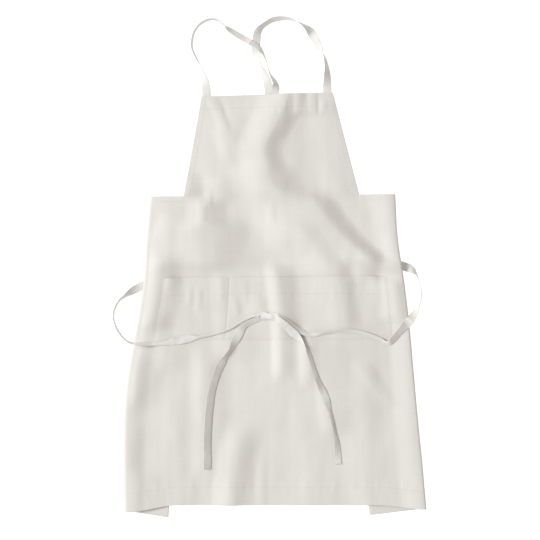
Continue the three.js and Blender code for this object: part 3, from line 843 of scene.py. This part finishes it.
# Tapes: routes close to the solids', rows of x, y, roll and, where cloth hides it, the underside's height

tape = {
    "width": 18,
    "thickness": 1.4,
    "rest": 0.25,  # clear of what lies below
    "climb": 0.8,  # steepest rise for each mm along
    "step": 2.6,
    "samples": 6000,  # along a route before it is cut into even steps
    "feelers": 9,  # places across its width that feel for what lies below
    "smooth": 11,  # steps over which its height is evened out
    "section": [-1, -0.975, -0.9, -0.79, -0.66, -0.3, 0, 0.3, 0.66, 0.79, 0.9, 0.975, 1],
    "edgeFrom": 0.9,  # share of the half width where its rounded edge starts
    "stitchLine": 0.79,
    "grooveDepth": 0.3,  # share of its thickness
    "grooveWidth": 0.07,
    "endHem": 5,  # steps from a loose end to its hem's seam
    "gathered": 8,  # narrowing at which its lengthwise pleat is full
    "pleat": 0.3,
    "pleatWaves": 3,
    "swell": 0.25,
    "crinkle": 0.3,
    "crinkleSize": (16, 11),
    "crinkleAcross": 14,
    "vary": 0.025,  # share by which its width varies
    "varyLength": 30,
    "sway": 5,  # degrees by which its roll varies
    "swayLength": 38,
    "laidAcross": 24,
}
knot = {
    "left": -19,  # x of its two ends
    "right": 14,
    "y": -103,
    "sway": 3.6,  # across and up from its middle line
    "tall": 1.4,
    "endShare": 0.8,  # its girth at both ends
    "girthPower": 0.7,
    "lift": 2.8,  # middle line over the cloth
    "bed": 8,  # reach to either side of the cloth that it lies on
    "lean": 26,  # degrees by which a tape's outer side dips
    "width": 12,
    "rows": 37,
}


def knotRows(start, end, firstTurn, lastTurn):
    # a flat twist along the knot: the tape sways from side to side and goes over and under its partner,
    # and turns slowest in the middle, so one crossing lies broad on top
    share = np.linspace(0, 1, knot["rows"])
    fromMiddle = 2 * share - 1
    turn = np.radians(mix(firstTurn, lastTurn, 0.5 + 0.5 * fromMiddle * np.abs(fromMiddle)))
    x = mix(start, end, share)
    girth = mix(knot["endShare"], 1, np.sin(np.pi * share) ** knot["girthPower"])
    y = knot["y"] + knot["sway"] * girth * np.cos(turn)
    beside = knot["bed"] * np.linspace(-1, 1, tape["feelers"])
    bed = heightUnder(x[:, None], knot["y"] + beside[None]).max(1)
    slope = np.polyfit(x, bed, 1)
    middle = np.polyval(slope, x) + knot["lift"] + knot["tall"] * girth * np.sin(turn)
    roll = np.sign(start - end) * knot["lean"] * np.cos(turn)
    free = np.full_like(x, np.nan)
    return list(zip(x, y, roll, free, middle, np.full_like(x, knot["width"])))


def gathered(width, rows):
    # rows of a tape that is creased lengthwise to a narrower width
    return [(*row, np.nan, np.nan, width) for row in rows]


def tucked(width, rows):
    # rows x, y, roll and height of a gathered tape's middle over the cloth, under the tapes laid there
    return [(x, y, roll, np.nan, heightUnder(np.array(x), np.array(y)) + above, width)
            for x, y, roll, above in rows]


def sewnBehind(places):
    # rows of a tape sewn flat to the back of the bib, just under the lowest cloth across its width
    sides = np.linspace(-0.5, 0.5, tape["feelers"]) * tape["width"]
    drop = body["hemThickness"] / 2 + tape["thickness"] + tape["rest"]
    lowest = [frontHeight(x + sides, y + 0 * sides).min() - drop for x, y in places]
    return [(x, y, 0, max(under, 0)) for (x, y), under in zip(places, lowest)]


strapRightRoute = [
    *sewnBehind([(122, 334), (121, 352), (121, 368)]),
    (121, 381, 12), (121, 401, 38), (120, 418, 56), (117, 435, 70), (111, 449, 92), (103, 464, 140),
    (95, 479, 150), (86, 494, 20), (75, 504, 58), (58, 514, 80), (41, 520, 100), (24, 521, 114),
    (7, 518, 118), (-7, 510, 116), (-19, 501, 126), (-25, 491, 152), (-27, 481, 166), (-28, 467, 168),
    (-28, 454, 8), (-25, 441, 46), (-22, 428, 76), (-17, 416, 72), (-10, 403, 40), (-5, 388, 20),
    (-2, 374, 4, 0.3), (-2, 355, 0, 0.3), (-6, 326, 0, 0.3), (-12, 288, 0, 0.3), (-17, 246, 0, 0.3),
    (-28, 208, 0, 0.3), (-49, 174, 0, 0.5), (-68, 154, 0, 1.5),
    (-85, 138, 0, 4.5), (-103, 125, 0, 4.6), (-121, 113, 0, 4.6),
]
strapLeftRoute = [
    *sewnBehind([(-132, 328), (-132, 346), (-132, 360)]),
    (-133, 376, -12), (-137, 397, -52), (-143, 418, -86), (-152, 435, -98), (-160, 452, -100),
    (-163, 468, -100), (-159, 489, -98), (-150, 504, -96), (-138, 514, -94), (-123, 519, -92),
    (-108, 517, -96), (-96, 507, -90),
    *gathered(14, [(-83, 497, -44), (-64, 485, -24), (-45, 474, -22), (-28, 463, -24)]),
    (-17, 452, -64), (-9, 437, -86), (-4, 420, -88), (1, 405, -78), (8, 393, -62),
    (13, 383, -50), (12, 372, -14, 2.4), (6, 355, -4, 2.4), (-3, 326, 0, 2.4), (-8, 288, 0, 2.4),
    (-8, 246, 0, 2.4), (3, 208, 0, 2.0), (30, 172, 0, 0.4), (60, 148, 0, 2.6), (90, 132, 0, 4.4),
    (115, 121, 0, 4.4),
]
tieRightRoute = [
    (104, 115, 0, 0), (125, 101, 0, 0), (159, 74, 0, 0), (207, 36, 0, 0), (249, 12, 0, 0),
    (274, 4, 0, 0), (289, -1, -4, 0), (300, -7, -40, 0.3), (307, -15, -74), (312, -25, -84),
    (317, -42, -86), (318, -61, -84), (314, -79, -86), (307, -94, 64), (298, -106, 30),
    (289, -117, -8), (280, -126, -30), (271, -136, -34), (261, -148, -36), (252, -158, -46),
    *gathered(8, [(243, -158, -40), (230, -151, -14), (211, -143, -18), (186, -136, -22),
                  (161, -133, -28), (135, -135, -42), (110, -139, -38), (87, -142, 20)]),
    *gathered(12, [(70, -137, 38), (54, -126, 38), (33, -111, 32)]),
    *knotRows(knot["right"], knot["left"], firstTurn=720, lastTurn=180),
    *gathered(13, [(-28, -110, 150), (-42, -116, 144)]),
    *gathered(16, [(-55, -125, 146)]),
    (-64, -139, 172), (-73, -157, 152),
    *gathered(14, [(-82, -173, 122), (-91, -187, 130)]),
    (-99, -200, 150), (-107, -215, 152), (-114, -233, 151), (-120, -254, 149), (-124, -277, 149),
    (-127, -307, 148), (-129, -338, 148), (-130, -370, 150), (-130, -397, 152), (-130, -423, 150),
]
tieLeftRoute = [
    (-106, 110, 0, 0), (-124, 90, 0, 0), (-154, 57, 0, 0), (-192, 17, 0, 0), (-230, -17, 0, 0),
    (-254, -33, 0, 0), (-272, -42, -3, 0), (-287, -50, -34, 0.3), (-302, -60, -70), (-315, -71, -84),
    (-324, -87, -86), (-327, -103, -86), (-324, -119, -86), (-317, -134, -86), (-306, -149, -86),
    (-291, -159, -82), (-272, -161, -70),
    *gathered(8, [(-247, -161, -30), (-222, -160, 0)]),
    *gathered(16, [(-201, -156, 6), (-184, -153, -4), (-167, -150, 4)]),
    *gathered(6, [(-146, -147, 20), (-121, -142, 22), (-93, -134, 22)]),
    *tucked(7, [(-70, -122, 16, 1), (-50, -109, 4, 1.2), (-31, -101, -10, 2)]),
    *knotRows(knot["left"], knot["right"], firstTurn=0, lastTurn=540),
    *gathered(14, [(26, -115, 16)]),
    (42, -131, 14), (57, -145, 22),
    *gathered(10, [(71, -161, 70), (81, -180, 140), (88, -201, 150), (93, -218, 150)]),
    *gathered(15, [(102, -240, 138), (113, -263, 164), (120, -282, 156)]),
    *gathered(8, [(126, -302, 150), (132, -325, 150), (137, -350, 150)]),
    *gathered(14, [(141, -372, 148), (143, -393, 162), (144, -413, 174)]),
]


def tapePath(route, seed):
    # smooth curve through the rows' x, y and roll, cut into even steps; given heights are kept, and
    # elsewhere the tape rests on what lies below it and climbs no steeper than its stiffness lets it
    full = [(*row, *(np.nan, np.nan, tape["width"])[len(row) - 3:]) for row in route]
    rows = np.array(full, float)
    rows[:, 2] = np.unwrap(rows[:, 2], period=180)
    share = np.linspace(0, 1, tape["samples"])
    dense = along(rows[:, :3], share)
    steps = np.hypot(*np.diff(dense[:, :2], axis=0).T)
    run = np.concatenate([[0], np.cumsum(steps)])
    share = np.interp(np.linspace(0, run[-1], int(run[-1] / tape["step"])), run, share)
    place = along(rows[:, :3], share)
    rowPlace = share * (len(rows) - 1)
    under, middle, width = (np.interp(rowPlace, np.arange(len(rows)), rows[:, k]) for k in (3, 4, 5))
    x, y = place[:, 0], place[:, 1]
    far = np.concatenate([[0], np.cumsum(np.hypot(np.diff(x), np.diff(y)))])
    isFree = np.isnan(under) & np.isnan(middle)
    sway = tape["sway"] * softNoise(far, 0 * far, (tape["swayLength"], 1), seed) * isFree
    roll = np.radians(place[:, 2] + sway)
    way = unit(np.stack([np.gradient(x), np.gradient(y)], -1))
    aside = np.stack([-way[:, 1], way[:, 0]], -1)
    flat, upright = np.abs(np.cos(roll)), np.abs(np.sin(roll))
    stand = (upright * width + flat * tape["thickness"]) / 2
    sides = np.linspace(-0.5, 0.5, tape["feelers"]) * width[:, None]
    beside = np.cos(roll)[:, None] * sides
    bed = heightUnder(x[:, None] + aside[:, :1] * beside, y[:, None] + aside[:, 1:] * beside)
    lowest = (bed - np.sin(roll)[:, None] * sides).max(1) + flat * tape["thickness"] / 2 + tape["rest"]
    height = np.where(np.isnan(middle), np.where(np.isnan(under), lowest, under + stand), middle)
    held = (height[None] - tape["climb"] * np.abs(far[:, None] - far[None])).max(1)
    height = np.where(isFree, held, height)
    window = np.hanning(tape["smooth"])
    padded = np.pad(height, tape["smooth"] // 2, mode="edge")
    smooth = np.convolve(padded, window / window.sum(), "valid")
    height = np.where(isFree, np.maximum(smooth, lowest), height)
    return np.stack([x, y, height], -1), aside, roll, width, far, isFree, np.isnan(under)


def makeTape(name, route, seed):
    # a flat section with a rounded edge and two stitched grooves, carried along the path and turned
    # by the roll; where it is gathered it thickens in the middle and pleats lengthwise
    middle, aside, roll, width, far, isFree, isShown = tapePath(route, seed)
    across = np.array(tape["section"])
    fromLine = (np.abs(across) - tape["stitchLine"]) / tape["grooveWidth"]
    groove = 1 - tape["grooveDepth"] * np.exp(-fromLine ** 2)
    intoEdge = np.clip((np.abs(across) - tape["edgeFrom"]) / (1 - tape["edgeFrom"]), 0, 1)
    edge = np.sqrt(1 - intoEdge ** 2)
    gather = ((tape["width"] - width) / tape["gathered"])[:, None]
    swell = 1 + gather * tape["swell"] * (1 - 2 * across[None] ** 2)
    sideways = np.concatenate([aside * np.cos(roll)[:, None], np.sin(roll)[:, None]], 1)
    face = np.concatenate([-aside * np.sin(roll)[:, None], np.cos(roll)[:, None]], 1)
    crinklePlace = across[None] * tape["crinkleAcross"]
    crinkle = softNoise(far[:, None], crinklePlace, tape["crinkleSize"], seed + 1) * isFree[:, None]
    pleat = tape["pleat"] * gather * np.cos(tape["pleatWaves"] * np.pi * across[None])
    bend = tape["crinkle"] * crinkle + pleat
    vary = 1 + tape["vary"] * softNoise(far, 0 * far, (tape["varyLength"], 1), seed + 2)
    wide = (width / 2 * vary)[:, None] * across
    centre = middle[:, None] + sideways[:, None] * wide[..., None] + face[:, None] * bend[..., None]
    shell = 0.5 * tape["thickness"] * swell * groove * edge
    top = centre + face[:, None] * shell[..., None]
    bottom = centre - face[:, None] * shell[..., None]
    loop = np.concatenate([top[:, ::-1], bottom[:, 1:-1]], 1)
    count, ringSize = loop.shape[:2]
    ring = np.concatenate([across[::-1], across[1:-1]]) * tape["width"] / 2
    uvs = np.stack(np.broadcast_arrays(ring[None], far[:, None]), -1) * mm
    index = np.arange(count * ringSize).reshape(count, ringSize)
    nextPoint = np.roll(index, -1, 1)
    faces = np.stack([index[:-1], index[1:], nextPoint[1:], nextPoint[:-1]], -1).reshape(-1, 4)
    last = len(across) - 1
    topRow = index[:, :last + 1]
    bottomRow = np.concatenate([index[:, :1], index[:, :last:-1], index[:, last:last + 1]], 1)
    start = np.stack([topRow[0, :-1], topRow[0, 1:], bottomRow[0, 1:], bottomRow[0, :-1]], -1)
    finish = np.stack([topRow[-1, 1:], topRow[-1, :-1], bottomRow[-1, :-1], bottomRow[-1, 1:]], -1)
    faces = np.concatenate([faces, start, finish])
    piece = makeMesh(name, loop.reshape(-1, 3), faces, uvs.reshape(-1, 2), tapeLinenPaintedLight)
    overWidth = np.linspace(0, 1, tape["laidAcross"])[:, None]
    layDown(mix(loop[:, :1], loop[:, last:last + 1], overWidth), tape["thickness"] / 2)
    return piece, {"top": top[isShown], "face": face[isShown]}


strapRight, strapRightLay = makeTape("shoulder_strap_right", strapRightRoute, 41)
strapLeft, strapLeftLay = makeTape("shoulder_strap_left", strapLeftRoute, 51)
tieRight, tieRightLay = makeTape("waist_tie_right", tieRightRoute, 61)
tieLeft, tieLeftLay = makeTape("waist_tie_left", tieLeftRoute, 71)
print("straps and ties laid")


# Stitches: short dashes of thread along each seam, sunk a little into the cloth

stitch = {
    "pitch": 3.2,
    "length": 2.4,
    "width": 0.6,
    "height": 0.5,
    "rings": [(-0.5, 0.35), (-0.28, 1), (0.28, 1), (0.5, 0.35)],  # share along the dash, share of its girth
    "sideways": [1, 0, -1, 0],  # the four points of a ring
    "outward": [0, 1, 0, -1],
    "wayReach": 0.6,  # to either side of a dash, for its direction
    "samples": 400,  # along a seam
    "slopeReach": 0.001,  # share of the cloth over which its slope is taken
    "inset": 0.004,  # from a hem's inner edge to its seam
    "ends": 0.006,  # from the cloth's edge to a seam's end
    "bibFoot": 0.01,
    "bibHead": 0.015,
}


def seamLine(surface, across, up, above):
    # points along a seam on a cloth surface, lifted by above along its normal
    small = stitch["slopeReach"]
    across, up = np.broadcast_arrays(np.asarray(across, float), np.asarray(up, float))
    points = surface(across, up)
    sideways = surface(across + small, up) - surface(across - small, up)
    upwards = surface(across, up + small) - surface(across, up - small)
    normals = unit(np.cross(sideways, upwards))
    return points + normals * above, normals


def threadDashes(line, normals):
    # four rings of four points make a dash: along the line, across it and out of the cloth
    run = np.concatenate([[0], np.cumsum(np.linalg.norm(np.diff(line, axis=0), axis=1))])
    count = max(int(run[-1] / stitch["pitch"]), 1)
    middle = (np.arange(count) + 0.5) * run[-1] / count

    def at(values, places):
        # straight mix between the line's points
        return np.stack([np.interp(places, run, values[:, k]) for k in range(3)], -1)

    reach = stitch["wayReach"]
    way = unit(at(line, middle + reach) - at(line, middle - reach))
    out = unit(at(normals, middle))
    side = unit(np.cross(out, way))
    rings = np.array(stitch["rings"])
    sideways = rings[:, 1, None] * stitch["width"] / 2 * np.array(stitch["sideways"])
    outward = rings[:, 1, None] * stitch["height"] / 2 * np.array(stitch["outward"])
    lengthwise = rings[:, 0, None] * stitch["length"] + 0 * sideways
    corners = at(line, middle)[:, None, None] + way[:, None, None] * lengthwise[..., None]
    corners = corners + side[:, None, None] * sideways[..., None] + out[:, None, None] * outward[..., None]
    return corners.reshape(-1, 3)


def makeStitches(name, lines):
    # every dash has the same faces: walls from ring to ring and a cap at either end
    points = np.concatenate([threadDashes(*line) for line in lines])
    rings, sides = len(stitch["rings"]), len(stitch["sideways"])
    corner = np.arange(rings * sides).reshape(rings, sides)
    turned = np.roll(corner, -1, 1)
    walls = np.stack([corner[:-1], turned[:-1], turned[1:], corner[1:]], -1).reshape(-1, 4)
    dash = np.concatenate([walls, corner[:1, ::-1], corner[-1:]])
    starts = np.arange(0, len(points), corner.size)
    faces = (starts[:, None, None] + dash).reshape(-1, 4)
    return makeMesh(name, points, faces, points[:, :2] * mm, threadLinen)


def bodySeams():
    # bottom hem, the skirt's two top hems, the bib's two sides and its top
    top = body["hemThickness"] / 2
    fine = np.linspace(0, 1, stitch["samples"])
    inset, ends = stitch["inset"], stitch["ends"]
    bibFrom, bibTo = bib["from"], bib["to"]
    side = body["bibSideHem"] - inset
    skirtTop = body["skirtTopHem"] + inset
    bibTop = 1 + body["bibTopHem"] + 3 * inset  # the bib is about a third as long as the skirt
    bibUp = mix(1 + stitch["bibFoot"], 2 - stitch["bibHead"], fine)
    return [
        seamLine(frontPoint, mix(inset, 1 - inset, fine), body["bottomHem"] - inset, top),
        seamLine(frontPoint, mix(ends, bibFrom, fine), skirtTop, top),
        seamLine(frontPoint, mix(bibTo, 1 - ends, fine), skirtTop, top),
        seamLine(frontPoint, bibFrom + side, bibUp, top),
        seamLine(frontPoint, bibTo - side, bibUp, top),
        seamLine(frontPoint, mix(bibFrom + ends, bibTo - ends, fine), bibTop, top),
    ]


def pocketSeams():
    # both sides, the bottom, the top hem and the division
    fine = np.linspace(0, 1, stitch["samples"])
    inset = stitch["inset"]
    bottom, upper = pocket["bottom"] + pocket["bottomSeam"], pocket["top"] - inset
    start, end = pocket["from"] + pocket["sideSeam"], pocket["to"] - pocket["sideSeam"]
    hemUp = mix(pocket["bottom"], pocket["top"], pocket["topHem"]) + inset
    edge = mix(pocket["edgeThickness"], pocket["thickness"], 0.5) / 2
    return [
        seamLine(pocketPoint, start, mix(bottom, upper, fine), edge),
        seamLine(pocketPoint, end, mix(bottom, upper, fine), edge),
        seamLine(pocketPoint, mix(start, end, fine), bottom, edge),
        seamLine(pocketPoint, mix(start, end, fine), hemUp, pocket["hemThickness"] / 2),
        seamLine(pocketPoint, pocket["division"], mix(bottom, upper, fine), pocket["thickness"] / 2),
    ]


def tapeSeams(lay, isLoose):
    # a seam along both edges and a hem across a loose end
    top, face = lay["top"], lay["face"]
    low, high = (tape["section"].index(place) for place in (-tape["stitchLine"], tape["stitchLine"]))
    lines = [(top[:, low], face), (top[:, high], face)]
    if isLoose:
        line = top[-tape["endHem"], low:high + 1]
        lines.append((line, np.tile(face[-tape["endHem"]], (len(line), 1))))
    return lines


bodyStitches = makeStitches("body_stitches", bodySeams())
pocketStitches = makeStitches("pocket_stitches", pocketSeams())
strapRightStitches = makeStitches("strap_right_stitches", tapeSeams(strapRightLay, False))
strapLeftStitches = makeStitches("strap_left_stitches", tapeSeams(strapLeftLay, False))
tieRightStitches = makeStitches("tie_right_stitches", tapeSeams(tieRightLay, True))
tieLeftStitches = makeStitches("tie_left_stitches", tapeSeams(tieLeftLay, True))
print("stitches sewn:", len(bodyStitches.data.polygons), "faces on the body")


# Pieces: each cloth and its stitches ride on the one body, and the cloth stands in for its solid

def declare(piece, node, slot, stitches, **cut):
    # a cloth and its stitches ride on the one body, and the cloth stands for its solid
    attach(piece, "root")
    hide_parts(node)
    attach(stitches, "root")


declare(apronCloth, "apron_body", "body_linen", bodyStitches, flat=(0.86, 0.88), held="folded", area=0.65)
declare(patchPocket, "pocket", "pocket_linen", pocketStitches,
        flat=(0.495, 0.14), held="laid", rests_on=["apron_cloth"])
declare(strapRight, "strap_right", "tape_linen", strapRightStitches,
        flat=(0.018, 0.74), held="laid", rests_on=["apron_cloth"])
declare(strapLeft, "strap_left", "tape_linen", strapLeftStitches,
        flat=(0.018, 0.76), held="laid", rests_on=["apron_cloth"])
declare(tieRight, "tie_right", "tape_linen", tieRightStitches,
        flat=(0.018, 1.09), held="laid", rests_on=["apron_cloth", "patch_pocket"])
declare(tieLeft, "tie_left", "tape_linen", tieLeftStitches,
        flat=(0.018, 1.09), held="laid", rests_on=["apron_cloth", "patch_pocket"])
